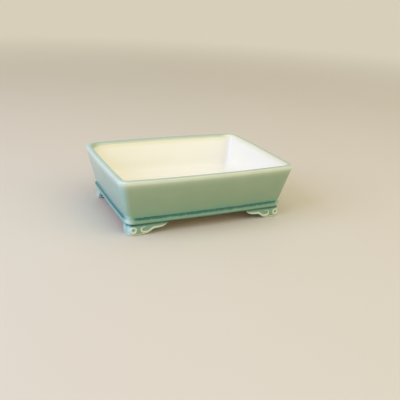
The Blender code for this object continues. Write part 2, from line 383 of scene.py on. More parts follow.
class Rule(Graph):
    """Geometry Nodes tree that makes one kind of piece from named sizes."""

    def __init__(self, name: str) -> None:
        """Start a tree that takes a mesh in and gives a mesh out.

        Args:
            name: Name of the tree.
        """
        super().__init__(bpy.data.node_groups.new(name, "GeometryNodeTree"))
        self._socket("Geometry", "INPUT", "NodeSocketGeometry")
        self._socket("Geometry", "OUTPUT", "NodeSocketGeometry")
        self.entry = self.node("NodeGroupInput")
        self.finish = self.size("Finish", "NodeSocketMaterial")
        self.given = Field(self, self.entry.outputs["Geometry"])

    def _socket(self, name: str, way: str, kind: str) -> bpy.types.NodeTreeInterfaceSocket:
        """Socket on the tree's face."""
        return self.tree.interface.new_socket(name, in_out=way, socket_type=kind)

    def size(self, name: str, kind: str = "NodeSocketFloat") -> Field:
        """Named input of the tree."""
        self._socket(name, "INPUT", kind)
        return Field(self, self.entry.outputs[name])

    def stored(self, name: str) -> Field:
        """Number stored on the points."""
        return self.field("GeometryNodeInputNamedAttribute", {"data_type": "FLOAT"}, {"Name": name})

    def store(self, geometry: Value, name: str, value: Value) -> Field:
        """Geometry with a number stored on its points.

        Args:
            geometry: Geometry to add to.
            name: Name that the number is stored under.
            value: Number at each point.

        Returns:
            The geometry with its new numbers.
        """
        settings = {"data_type": "FLOAT", "domain": "POINT"}
        sockets = {"Geometry": geometry, "Name": name, "Value": value}
        return self.field("GeometryNodeStoreNamedAttribute", settings, sockets)

    def move(self, geometry: Value, position: Value) -> Field:
        """Geometry with its points moved to a position."""
        return self.field("GeometryNodeSetPosition", None, {"Geometry": geometry, "Position": position})

    def hand_made(self, geometry: Value, size: Value, scale: float) -> Field:
        """Geometry warped a little, as hand pressed clay is.

        Args:
            geometry: Geometry in its final place.
            size: Spread of the warp in metres.
            scale: Waves per metre.

        Returns:
            The warped geometry. Pieces that touch are warped alike.
        """
        position = self.field("GeometryNodeInputPosition")
        cloud = self.noise(position, scale, output="Color")
        offset = self.vector_math("SUBTRACT", cloud, (NOISE_MIDDLE, NOISE_MIDDLE, NOISE_MIDDLE))
        warp = self.field("ShaderNodeVectorMath", {"operation": "SCALE"}, {0: offset, "Scale": size})
        return self.field("GeometryNodeSetPosition", None, {"Geometry": geometry, "Offset": warp})

    def line(self, count: Value, step: Sequence[float]) -> Field:
        """Row of points that lie a step apart."""
        return self.field("GeometryNodeMeshLine", {"mode": "OFFSET"}, {"Count": count, "Offset": step})

    def line_share(self, count: Value) -> Field:
        """Share of the row at each of its points, from 0 to 1."""
        return self.field("GeometryNodeInputIndex") / (count - 1.0)

    def curve(self, mesh: Value) -> Field:
        """Curve along the edges of a mesh."""
        return self.field("GeometryNodeMeshToCurve", None, {"Mesh": mesh})

    def sweep(self, rail: Value, section: Value, scale: Value = 1.0) -> Field:
        """Solid that a section makes along a rail, with filled ends."""
        sockets = {"Curve": rail, "Profile Curve": section, "Scale": scale, "Fill Caps": True}
        return self.field("GeometryNodeCurveToMesh", None, sockets)

    def bar(self, columns: Value) -> Field:
        """Straight bar with the given section and filled ends.

        Args:
            columns: Count of sections along the bar.

        Returns:
            The bar, whose points store their share of the length as place.
        """
        line = self.line(columns, (1.0, 0.0, 0.0))
        placed = self.store(line, "place", self.line_share(columns))
        return self.sweep(self.curve(placed), self.curve(self.given))

    def real(self, geometry: Value) -> Field:
        """Geometry whose instances are made real."""
        return self.field("GeometryNodeRealizeInstances", None, {"Geometry": geometry})

    def close(self, geometry: Value) -> None:
        """End the tree in real geometry with its finish.

        Args:
            geometry: Geometry of the piece.
        """
        sockets = {"Geometry": self.real(geometry), "Material": self.finish}
        dressed = self.field("GeometryNodeSetMaterial", None, sockets)
        self.node("NodeGroupOutput", None, {"Geometry": dressed})

    def make(self, name: str, given: bpy.types.Mesh, sizes: Mapping[str, Value]) -> bpy.types.Object:
        """Run the tree once and keep the result as a plain mesh.

        Args:
            name: Name of the piece.
            given: Mesh that goes into the tree.
            sizes: Values of the named inputs.

        Returns:
            Object at the origin that holds the result.
        """
        piece = add_object(name, given)
        modifier = piece.modifiers.new(self.tree.name, "NODES")
        modifier.node_group = self.tree
        for item in self.tree.interface.items_tree:
            if item.in_out == "INPUT" and item.name in sizes:
                modifier[item.identifier] = sizes[item.name]
        graph = bpy.context.evaluated_depsgraph_get()
        result = bpy.data.meshes.new_from_object(
            piece.evaluated_get(graph), preserve_all_data_layers=True, depsgraph=graph
        )
        piece.modifiers.clear()
        piece.data = result
        result.name = name
        return piece


def add_object(name: str, data: bpy.types.ID) -> bpy.types.Object:
    """Put a new object in the scene.

    Args:
        name: Name of the object.
        data: Mesh, light or camera that it holds.

    Returns:
        The object, at the origin.
    """
    item = bpy.data.objects.new(name, data)
    bpy.context.scene.collection.objects.link(item)
    return item


def store_column(mesh: bpy.types.Mesh, name: str, values: Sequence[float]) -> None:
    """Store a number on each point of a mesh."""
    column = mesh.attributes.new(name, "FLOAT", "POINT")
    column.data.foreach_set("value", np.array(values, np.float32))


def loop_mesh(name: str, points: Sequence[Sequence[float]], columns: Columns) -> bpy.types.Mesh:
    """Closed loop of points joined by edges.

    Args:
        name: Name of the mesh.
        points: Points of the loop.
        columns: Numbers to store on the points, by name.

    Returns:
        Mesh of edges.
    """
    count = len(points)
    edges = [(index, (index + 1) % count) for index in range(count)]
    mesh = bpy.data.meshes.new(name)
    mesh.from_pydata(points, edges, [])
    for key, values in columns.items():
        store_column(mesh, key, values)
    return mesh


def face_outwards(mesh: bpy.types.Mesh) -> None:
    """Turn the faces of a mesh outwards and shade them smooth.

    Args:
        mesh: Closed mesh.
    """
    body = bmesh.new()
    body.from_mesh(mesh)
    bmesh.ops.recalc_face_normals(body, faces=body.faces)
    body.to_mesh(mesh)
    body.free()
    mesh.shade_smooth()


def shade_by_area(mesh: bpy.types.Mesh, sharp: float) -> None:
    """Shade a mesh so that its wide flat faces stay flat up to their rounded edges.

    Args:
        mesh: Closed mesh.
        sharp: Angle between two faces from which the edge between them stays sharp.
    """
    limit = math.cos(sharp)
    around: list[list[bpy.types.MeshPolygon]] = [[] for _ in mesh.vertices]
    for face in mesh.polygons:
        for corner in face.vertices:
            around[corner].append(face)
    loops = []
    for face in mesh.polygons:
        for corner in face.vertices:
            near = [other for other in around[corner] if face.normal.dot(other.normal) > limit]
            loops.append(sum((other.normal * other.area for other in near), Vector()).normalized())
    mesh.normals_split_custom_set(loops)


def shade_mitred(mesh: bpy.types.Mesh, side: Side) -> None:
    """Shade a mitred piece so that it runs on into its neighbours without a seam.

    Args:
        mesh: Closed mesh whose only faces of more than four corners are its two ends.
        side: Side of the tray that it is on.
    """
    count = len(mesh.vertices)
    points = np.empty(count * 3)
    mesh.vertices.foreach_get("co", points)
    points = points.reshape(-1, 3)
    normals = np.zeros((count, 3))
    is_end = np.zeros(count, bool)
    for face in mesh.polygons:
        corners = list(face.vertices)
        if len(corners) > QUAD_CORNERS:
            is_end[corners] = True
        else:
            normals[corners] += np.array(face.normal) * face.area
    along = np.array((math.cos(side.turn), math.sin(side.turn), 0.0))
    out = np.array((math.sin(side.turn), -math.cos(side.turn), 0.0))
    end_sign = np.sign(points @ along)
    across = (end_sign[:, None] * along - out) / math.sqrt(2.0)
    slip = np.sum(normals * across, axis=1, keepdims=True) * across
    normals = np.where(is_end[:, None], normals - slip, normals)
    normals /= np.maximum(np.linalg.norm(normals, axis=1, keepdims=True), TINY)
    loops = []
    for face in mesh.polygons:
        for corner in face.vertices:
            loops.append(face.normal if face.loop_total > QUAD_CORNERS else normals[corner])
    mesh.normals_split_custom_set(loops)


def attach(piece: bpy.types.Object, slot: Slot, *nodes: str) -> bpy.types.Object:
    """Put a finished piece in the place of its CAD nodes.

    Args:
        piece: Finished piece.
        slot: Material slot of its finish. Not used.
        nodes: Names of the CAD nodes that it stands for.

    Returns:
        The piece.
    """
    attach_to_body(piece, BODY)
    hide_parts(*nodes)
    return piece


@dataclass(frozen=True)
class Glaze:
    """Celadon glaze, whose colour follows how thick it lies, and the bare and inner finishes."""

    # Celadon by thickness, from a bare edge to a pool, and the slip on the inner edge of the rim.
    thin: Colour = srgb(234, 242, 218)
    light: Colour = srgb(186, 200, 169)
    full: Colour = srgb(146, 168, 134)
    deep: Colour = srgb(92, 166, 142)
    pooled: Colour = srgb(8, 85, 65)
    slip: Colour = srgb(184, 203, 182)

    # Cream white inside, by height and place, with painted shade towards the floor and in the inner
    # corners.
    cream: Colour = srgb(248, 244, 226)
    cream_shade: Colour = srgb(247, 241, 215)
    cream_low: Colour = srgb(241, 236, 214)
    cream_corner: Colour = srgb(240, 235, 216)
    cream_edge: Colour = srgb(240, 235, 200)
    shade_zone: tuple[float, float] = (0.45, 0.8)
    shade_share: float = 0.5
    low_rise: float = 0.009

    # Painted window light: a bluer tint on the left end, by inset from its outer face, for the cool light
    # that falls from the left.
    cool: Colour = (1.03, 1.26, 1.67, 1.0)
    cool_pool: Colour = srgb(60, 128, 136)
    cool_foot: float = -0.0639
    cool_flare: float = 0.234
    cool_width: tuple[float, float] = (0.006, 0.009)
    cool_rim: tuple[float, float] = (0.0454, 0.0468)
    cool_start: tuple[float, float] = (0.05, 0.3)
    cool_pool_zone: tuple[float, float] = (0.7, 1.0)
    cool_pool_share: float = 0.4

    # Unglazed clay.
    clay: Colour = srgb(206, 190, 162)
    clay_speck: Colour = srgb(150, 126, 96)
    speck_zone: tuple[float, float] = (0.56, 0.68)
    clay_roughness: float = 0.85

    # Gloss.
    gloss: float = 0.1
    inner_gloss: float = 0.22
    ior: float = 1.5
    coat: float = 0.25
    inner_coat: float = 0.1
    coat_roughness: float = 0.04

    # Clouds and flecks in the thickness.
    cloud_scale: float = 55.0
    cloud_share: float = 0.1
    streak_scale: float = 480.0
    streak_share: float = 0.02
    streak_stretch: tuple[float, float, float] = (1.0, 1.0, 0.3)
    flecks: float = 0.55
    pool_zone: tuple[float, float] = (0.55, 0.9)

    # Uneven skin.
    wave_scale: float = 90.0
    grain_scale: float = 2600.0
    grain_share: float = 0.006
    skin_depth: float = 0.00004
    skin_strength: float = 0.25

    def stops(self) -> list[tuple[float, Colour]]:
        """Colours by thickness, from a bare edge to a pool."""
        colours = (self.thin, self.light, self.full, self.deep, self.pooled)
        return [(index / (len(colours) - 1), colour) for index, colour in enumerate(colours)]

    def start(self, name: str) -> Shader:
        """Shader with the constants of a fired glaze."""
        constants = {"IOR": self.ior, "Coat Roughness": self.coat_roughness, "Coat IOR": self.ior}
        return Shader(name, constants)

    def mottled(self, shader: Shader, thickness: Field, flecks: float) -> Field:
        """Thickness with clouds all over and flecks where it pools.

        Args:
            shader: Shader of the piece.
            thickness: Thickness that follows the form.
            flecks: Strength of the flecks.

        Returns:
            Thickness from 0 to 1 and a little past.
        """
        clouds = shader.noise(shader.place, self.cloud_scale, detail=2.0) - NOISE_MIDDLE
        drawn = shader.vector_math("MULTIPLY", shader.place, self.streak_stretch)
        streaks = shader.noise(drawn, self.streak_scale, detail=3.0) - NOISE_MIDDLE
        pooling = shader.smooth(thickness, *self.pool_zone)
        return thickness + clouds * self.cloud_share + streaks * (self.streak_share + pooling * flecks)

    def colour(self, shader: Shader, thickness: Field, flecks: float) -> Field:
        """Colour of the glaze at a thickness, with flecks of a strength where it pools."""
        return shader.ramp(self.mottled(shader, thickness, flecks), self.stops())

    def cast(self, shader: Shader, colour: Field, thickness: Field) -> Field:
        """Painted window light: a bluer tint on the left end of the pot where the glaze isn't thin, for
        the cool light that falls from the left.

        Args:
            shader: Shader of the piece.
            colour: Colour of the glaze.
            thickness: Thickness that follows the form.

        Returns:
            Colour.
        """
        x, _, height = shader.parts(shader.place)
        inset = x - self.cool_foot + height * self.cool_flare
        width = shader.blend(*self.cool_width, shader.smooth(height, *self.cool_rim))
        share = (1.0 - shader.smooth(inset, 0.0, width)) * shader.smooth(thickness, *self.cool_start)
        window_lit = shader.tint(colour, self.cool, share, "MULTIPLY")
        # Painted window light in the pools as well: a bluer pooled colour on the left end.
        pooled = share * shader.smooth(thickness, *self.cool_pool_zone) * self.cool_pool_share
        return shader.tint(window_lit, self.cool_pool, pooled)

    def skin(self, shader: Shader) -> Field:
        """Normal of the softly uneven glaze surface.

        Args:
            shader: Shader of the piece.

        Returns:
            Normal.
        """
        waves = shader.noise(shader.place, self.wave_scale, detail=1.0)
        grain = shader.noise(shader.place, self.grain_scale, detail=2.0)
        return shader.bump(waves + grain * self.grain_share, self.skin_depth, self.skin_strength)

    def inner(self, shader: Shader, floor_top: float) -> Field:
        """Colour of the cream white inside, with painted shade that makes it a little darker towards the
        floor.

        Args:
            shader: Shader of the piece.
            floor_top: Height of the floor.

        Returns:
            Colour.
        """
        clouds = shader.noise(shader.place, self.cloud_scale, detail=3.0)
        shade = shader.smooth(clouds, *self.shade_zone) * self.shade_share
        cream = shader.tint(self.cream, self.cream_shade, shade)
        height = shader.parts(shader.place)[2]
        # Painted shade: darker towards the floor.
        low = 1.0 - shader.smooth(height, floor_top, floor_top + self.low_rise)
        return shader.tint(cream, self.cream_low, low)

    def bare(self, shader: Shader) -> Field:
        """Colour of the unglazed clay."""
        specks = shader.noise(shader.place, self.grain_scale, detail=3.0)
        return shader.tint(self.clay, self.clay_speck, shader.smooth(specks, *self.speck_zone))

    def wear(self, shader: Shader, colour: Value, roughness: Value, coat: Value) -> bpy.types.Material:
        """Material with the uneven skin of the glaze.

        Args:
            shader: Shader of the piece.
            colour: Base colour.
            roughness: Roughness.
            coat: Weight of the clear coat.

        Returns:
            The material.
        """
        return shader.wear(
            {
                "Base Color": colour,
                "Roughness": roughness,
                "Coat Weight": coat,
                "Normal": self.skin(shader),
            }
        )


@dataclass(frozen=True)
class TrayPlan:
    """Outline, flare and levels of the tray, shared by its walls, bead and floor."""

    # Outline of the rim and flare of the sides.
    half_length: float = 0.07488
    half_width: float = 0.05462
    height: float = 0.04692
    flare: float = 0.234

    # Bow of the sides at the rim, and its share at the foot.
    long_bow: float = 0.0022
    short_bow: float = 0.0008
    base_bow_share: float = 0.5
    bow_powers: tuple[float, float] = (2.0, 8.0)

    # Corner radii, and factors on the rim's from the front left corner anticlockwise.
    rim_corner: float = 0.0085
    base_corner: float = 0.005
    inner_corner: float = 0.006
    rim_rounding: tuple[float, float, float, float] = (0.78, 0.74, 1.1, 1.4)
    near_corner_reach: float = 1.35

    # Foot of the tray.
    base_shift: float = 0.0006
    floor_underside: float = 0.0101
    ledge: float = 0.0143
    floor_top: float = 0.0153

    # Warp of hand pressed clay.
    warp: float = 0.0003
    warp_scale: float = 22.0

    # Columns of the mesh.
    corner_columns: int = 12
    long_columns: int = 96
    short_columns: int = 72

    def wall_inset(self, height: float) -> float:
        """Inset of the outer wall face at a height."""
        return self.flare * (self.height - height)

    def corner_radius(self, height: float) -> float:
        """Corner radius of the outer wall face at a height."""
        share = (height - self.ledge) / (self.height - self.ledge)
        return mix(self.base_corner, self.rim_corner, share)

    def belly(self, share: Union[float, Field]) -> Union[float, Field]:
        """Share of a side's bow at a share of its half run."""
        return (1.0 - share ** self.bow_powers[0]) * (1.0 - share ** self.bow_powers[1])

    def side_sizes(self, side: Side) -> dict[str, Value]:
        """Values of the side rule's inputs.

        Args:
            side: Side of the tray.

        Returns:
            Values by the names of the inputs.
        """
        columns = self.long_columns if side.is_long else self.short_columns
        return {
            "Half Run": self.half_length if side.is_long else self.half_width,
            "Half Depth": self.half_width if side.is_long else self.half_length,
            "Bow": self.long_bow if side.is_long else self.short_bow,
            "Base Bow Share": self.base_bow_share,
            "Base Height": self.ledge,
            "Rim Height": self.height,
            "Corner Share": 2.0 * self.corner_columns / columns,
            "Columns": columns + 1,
            "Turn": side.turn,
            "Start Rounding": self.rim_rounding[side.value],
            "End Rounding": self.rim_rounding[(side.value + 1) % len(self.rim_rounding)],
            "Base Shift": self.base_shift,
            "Warp": self.warp,
        }

    def side_rule(self) -> Rule:
        """Rule that sweeps a section along one flared and bowed side, from mitre to mitre.

        Returns:
            Tree whose section stores inset, height, corner_radius, glaze and sheds on its points.
            The piece stores near_corner as well, which climbs to 1 at the mitres.
        """
        rule = Rule("mitred_side")
        half_run = rule.size("Half Run")
        half_depth = rule.size("Half Depth")
        bow = rule.size("Bow")
        base_bow_share = rule.size("Base Bow Share")
        base_height = rule.size("Base Height")
        rim_height = rule.size("Rim Height")
        corner_share = rule.size("Corner Share")
        columns = rule.size("Columns", "NodeSocketInt")
        turn = rule.size("Turn")
        start_rounding = rule.size("Start Rounding")
        end_rounding = rule.size("End Rounding")
        base_shift = rule.size("Base Shift")
        warp = rule.size("Warp")
        corner_thinning = rule.size("Corner Thinning")
        bar = rule.bar(columns)
        inset = rule.stored("inset")
        height = rule.stored("height")
        run = rule.stored("place") * 2.0 - 1.0
        climb = rule.linear(height, base_height, rim_height)
        rounding = rule.blend(start_rounding, end_rounding, rule.math("GREATER_THAN", run, 0.0))
        radius = rule.stored("corner_radius") * rule.blend(1.0, rounding, climb)
        reach = rule.math("ABSOLUTE", run)
        straight = rule.linear(reach, 0.0, 1.0 - corner_share)
        corner = rule.linear(reach, 1.0 - corner_share, 1.0)
        angle = corner * (math.pi / 4)
        bow_now = bow * rule.blend(base_bow_share, 1.0, climb)
        belly = self.belly(straight) * bow_now
        along = (half_run - inset - radius) * straight + radius * rule.math("SINE", angle)
        out = half_depth - inset + belly - radius * (1.0 - rule.math("COSINE", angle))
        flat = rule.vector(along * rule.math("SIGN", run), -out, height)
        sockets = {"Vector": flat, "Angle": turn}
        turned = rule.field("ShaderNodeVectorRotate", {"rotation_type": "Z_AXIS"}, sockets)
        placed = rule.vector_math("ADD", turned, rule.vector(base_shift * (1.0 - climb), 0.0, 0.0))
        near_corner = rule.smooth(reach, 1.0 - corner_share * self.near_corner_reach, 1.0)
        thinning = corner_thinning * rule.stored("sheds") * near_corner
        thinned = rule.stored("glaze") * (1.0 - thinning)
        glazed = rule.store(bar, "glaze", thinned)
        marked = rule.store(glazed, "near_corner", near_corner)
        rule.close(rule.hand_made(rule.move(marked, placed), warp, self.warp_scale))
        return rule


@dataclass(frozen=True)
class MitredSides:
    """Kind of piece that runs along each side of the tray and is mitred at the corners."""

    plan: TrayPlan
    glaze: Glaze
    corner_thinning: float = 0.6

    slot: ClassVar[Slot]
    piece: ClassVar[str]
    node: ClassVar[str]

    def _section(self) -> bpy.types.Mesh:
        """Section of the piece."""
        raise NotImplementedError

    def dress(self) -> bpy.types.Material:
        """Finish of the piece."""
        raise NotImplementedError

    def build(self, rule: Rule) -> list[bpy.types.Object]:
        """Make the piece for each of the four sides.

        Args:
            rule: Rule of a mitred side.

        Returns:
            The finished pieces.
        """
        finish = self.dress()
        pieces = []
        for side in Side:
            sizes = self.plan.side_sizes(side)
            sizes.update({"Finish": finish, "Corner Thinning": self.corner_thinning})
            made = rule.make(f"glazed_{side.label}_{self.piece}", self._section(), sizes)
            face_outwards(made.data)
            shade_mitred(made.data, side)
            pieces.append(attach(made, self.slot, f"{side.label}_{self.node}"))
        return pieces


@dataclass(frozen=True)
class Walls(MitredSides):
    """Four flared walls with a rounded rim.

    The thickness of the glaze is given by the run up from the foot in millimetres, then by the
    run from the start of the rim in millimetres, on the rim by the share of its width, and
    inside by the run past the rim in millimetres.
    """

    slot: ClassVar[Slot] = Slot.WALL
    piece: ClassVar[str] = "wall"
    node: ClassVar[str] = "wall"

    # Section.
    thickness: float = 0.0049
    rim_drop: float = 0.0016
    rim_squareness: float = 0.72
    cove: float = 0.009
    cove_corner: float = 0.0014
    cove_sink: float = 0.0003
    fillet_foot: tuple[float, float, float] = (0.00676, 0.01386, 0.0075)
    fillet_bend: float = 0.01484
    fillet_top: float = 0.0158
    fillet_steps: int = 12
    face_steps: int = 30
    rim_steps: int = 24
    cove_steps: int = 12

    # Thickness of the glaze.
    corner_thinning: float = 0.65
    foot_glaze: tuple[tuple[float, float], ...] = (
        (0.0, 1.1),
        (0.5, 1.16),
        (1.1, 1.06),
        (1.6, 0.75),
        (2.4, 0.58),
        (4.6, 0.55),
        (10.6, 0.52),
    )
    face_glaze: tuple[tuple[float, float], ...] = (
        (-7.5, 0.46),
        (-4.4, 0.41),
        (-2.4, 0.29),
        (-0.8, 0.1),
        (0.0, 0.03),
    )
    rim_glaze: tuple[tuple[float, float], ...] = (
        (0.1, 0.09),
        (0.28, 0.24),
        (0.46, 0.31),
        (0.7, 0.42),
        (0.86, 0.43),
    )
    inner_glaze: tuple[float, float] = (1.5, 0.2)
    shed_run: tuple[float, float] = (0.0015, 0.004)
    face_shedding: float = 0.12

    # Line between the celadon and the cream white.
    inner_line: float = -0.0014
    inner_line_soft: float = 0.0028
    inner_edge: tuple[float, float] = (0.0005, 0.005)
    slip_line: tuple[float, float] = (-0.0032, -0.0012)
    slip_share: float = 0.7
    inner_wave: float = 0.0006
    inner_wave_scale: float = 60.0
    inner_lean: float = 0.0018
    lean_run: tuple[float, float] = (0.058, 0.068)

    def _inner_inset(self, height: float) -> float:
        """Inset of the inner wall face at a height."""
        return self.plan.wall_inset(height) + self.thickness

    def _fillet(self) -> list[tuple[float, float, float]]:
        """Hollow that the pooled glaze fills between the bead and the wall.

        Returns:
            Inset, height and corner radius of each point, up from the bead.
        """
        plan = self.plan
        rows = [self.fillet_foot]
        for height in (self.fillet_bend, self.fillet_top):
            rows.append((plan.wall_inset(height), height, plan.corner_radius(height)))
        points = []
        for step in range(self.fillet_steps):
            share = step / self.fillet_steps
            low, bend, high = ((1.0 - share) ** 2, 2.0 * share * (1.0 - share), share ** 2)
            points.append(tuple(low * a + bend * b + high * c for a, b, c in zip(*rows)))
        return points

    def _points(self) -> list[tuple[float, float, float]]:
        """Section of a wall from its outer foot over the rim to its inner foot.

        Returns:
            Inset, height and corner radius of each point.
        """
        plan = self.plan
        rim_base = plan.height - self.rim_drop
        points = self._fillet()
        for step in range(self.face_steps):
            height = mix(self.fillet_top, rim_base, step / self.face_steps)
            points.append((plan.wall_inset(height), height, plan.corner_radius(height)))
        for step in range(self.rim_steps + 1):
            turn = math.pi * step / self.rim_steps
            swing = math.copysign(abs(math.cos(turn)) ** self.rim_squareness, math.cos(turn))
            across = self.thickness / 2 * (1.0 - swing)
            height = plan.height - self.rim_drop * (1.0 - math.sin(turn) ** self.rim_squareness)
            radius = mix(plan.corner_radius(height), plan.inner_corner, across / self.thickness)
            points.append((plan.wall_inset(height) + across, height, radius))
        cove_top = plan.floor_top + self.cove
        for step in range(1, self.face_steps):
            height = mix(rim_base, cove_top, step / self.face_steps)
            points.append((self._inner_inset(height), height, plan.inner_corner))
        foot = self._inner_inset(plan.floor_top)
        for step in range(self.cove_steps + 1):
            share = step / self.cove_steps
            across = mix(foot, foot + self.cove, share)
            inset = mix(mix(self._inner_inset(cove_top), foot, share), across, share)
            height = mix(mix(cove_top, plan.floor_top, share), plan.floor_top - self.cove_sink, share)
            points.append((inset, height, mix(plan.inner_corner, self.cove_corner, share)))
        points.append((foot, plan.floor_top - self.cove_sink, plan.inner_corner))
        points.append((self._inner_inset(plan.ledge), plan.ledge, plan.inner_corner))
        return points

    def _section(self) -> bpy.types.Mesh:
        """Section with the run past the rim and the thickness of the glaze on its points.

        Returns:
            Closed loop of edges.
        """
        points = np.array(self._points())
        steps = np.linalg.norm(np.diff(points[:, :2], axis=0), axis=1)
        runs = np.concatenate(([0.0], np.cumsum(steps)))
        rim_start = self.fillet_steps + self.face_steps
        runs -= runs[rim_start]
        rim_width = runs[rim_start + self.rim_steps]
        stops = [(runs[0] + run * MM, thickness) for run, thickness in self.foot_glaze]
        stops += [(run * MM, thickness) for run, thickness in self.face_glaze]
        stops += [(share * rim_width, thickness) for share, thickness in self.rim_glaze]
        stops.append((rim_width + self.inner_glaze[0] * MM, self.inner_glaze[1]))
        columns = {
            "inset": points[:, 0],
            "height": points[:, 1],
            "corner_radius": points[:, 2],
            "inward": runs - rim_width,
            "glaze": np.interp(runs, *zip(*stops)),
            "sheds": np.interp(runs - runs[0], self.shed_run, (1.0, self.face_shedding)),
        }
        flat = [(inset, height, 0.0) for inset, height, _ in points]
        return loop_mesh("wall_section", flat, columns)

    def dress(self) -> bpy.types.Material:
        """Celadon outside and over the rim, with a wavy edge on the cream white inside.

        Returns:
            The finish.
        """
        glaze = self.glaze
        shader = glaze.start("celadon_wall_glaze")
        wave = shader.noise(shader.place, self.inner_wave_scale, detail=1.0) - NOISE_MIDDLE
        x = shader.parts(shader.place)[0]
        lean = shader.smooth(x, *self.lean_run) - shader.smooth(-x, *self.lean_run)
        inward = shader.attribute("inward") + wave * self.inner_wave + lean * self.inner_lean
        inside = shader.smooth(inward, self.inner_line, self.inner_line + self.inner_line_soft)
        cream_edge = 1.0 - shader.smooth(inward, *self.inner_edge)
        # Painted shade: the cream is darker towards the floor.
        cream = glaze.inner(shader, self.plan.floor_top)
        # Painted shade: the cream is a shade deeper in the inner corners.
        cream = shader.tint(cream, glaze.cream_corner, shader.attribute("near_corner"))
        cream = shader.tint(cream, glaze.cream_edge, cream_edge)
        thickness = shader.attribute("glaze")
        slip = shader.smooth(inward, *self.slip_line) * self.slip_share
        outer = shader.tint(glaze.colour(shader, thickness, glaze.flecks), glaze.slip, slip)
        # Painted window light: a bluer tint on the left end.
        outer = glaze.cast(shader, outer, thickness)
        return glaze.wear(
            shader,
            colour=shader.tint(outer, cream, inside),
            roughness=shader.blend(glaze.gloss, glaze.inner_gloss, inside),
            coat=shader.blend(glaze.coat, glaze.inner_coat, inside),
        )


@dataclass(frozen=True)
class Beads(MitredSides):
    """Half-round bead round the foot of the walls.

    The thickness of the glaze is given by the angle up from its crest in degrees.
    """

    slot: ClassVar[Slot] = Slot.BEAD
    piece: ClassVar[str] = "bead"
    node: ClassVar[str] = "base_bead"

    # Section.
    height: float = 0.0043
    depth: float = 0.0019
    back_inset: float = 0.0081
    root_inset: float = 0.0084
    corner: float = 0.0075
    squareness: float = 0.6
    undercut: float = math.radians(65)
    steps: int = 28

    # Thickness of the glaze.
    round_glaze: tuple[tuple[float, float], ...] = (
        (-65.0, 0.86),
        (-40.0, 0.66),
        (-12.0, 0.57),
        (4.0, 0.59),
        (18.0, 0.71),
        (34.0, 0.94),
        (50.0, 1.08),
        (90.0, 1.12),
    )
    root_glaze: tuple[float, float] = (0.7, 1.0)

    def _section(self) -> bpy.types.Mesh:
        """Section with the thickness of the glaze on its points.

        Returns:
            Closed loop of edges.
        """
        half_height = self.height / (1.0 + math.sin(self.undercut))
        middle = self.plan.floor_underside + self.height - half_height
        top = self.plan.floor_underside + self.height
        inner = self.plan.inner_corner
        low_glaze, high_glaze = self.root_glaze
        points = [(self.root_inset, self.plan.floor_underside, inner, low_glaze)]
        turns = np.linspace(-self.undercut, math.pi / 2, self.steps)
        angles, stops = zip(*self.round_glaze)
        thickness = np.interp(turns, np.radians(angles), stops)
        front_inset = self.back_inset - self.depth
        for turn, glaze in zip(turns, thickness):
            inset = self.back_inset - self.depth * max(math.cos(turn), 0.0) ** self.squareness
            corner = mix(self.corner, inner, (inset - front_inset) / (self.root_inset - front_inset))
            points.append((inset, middle + half_height * math.sin(turn), corner, glaze))
        points.append((self.root_inset, top, inner, high_glaze))
        columns = dict(zip(("inset", "height", "corner_radius", "glaze"), zip(*points)))
        columns["sheds"] = [1.0] * len(points)
        flat = [(inset, height, 0.0) for inset, height, _, _ in points]
        return loop_mesh("bead_section", flat, columns)

    def dress(self) -> bpy.types.Material:
        """Celadon that is light on the crest and pools above and below it.

        Returns:
            The finish.
        """
        glaze = self.glaze
        shader = glaze.start("celadon_bead_glaze")
        thickness = shader.attribute("glaze")
        colour = glaze.colour(shader, thickness, glaze.flecks)
        # Painted window light: a bluer tint on the left end.
        return glaze.wear(shader, glaze.cast(shader, colour, thickness), glaze.gloss, glaze.coat)


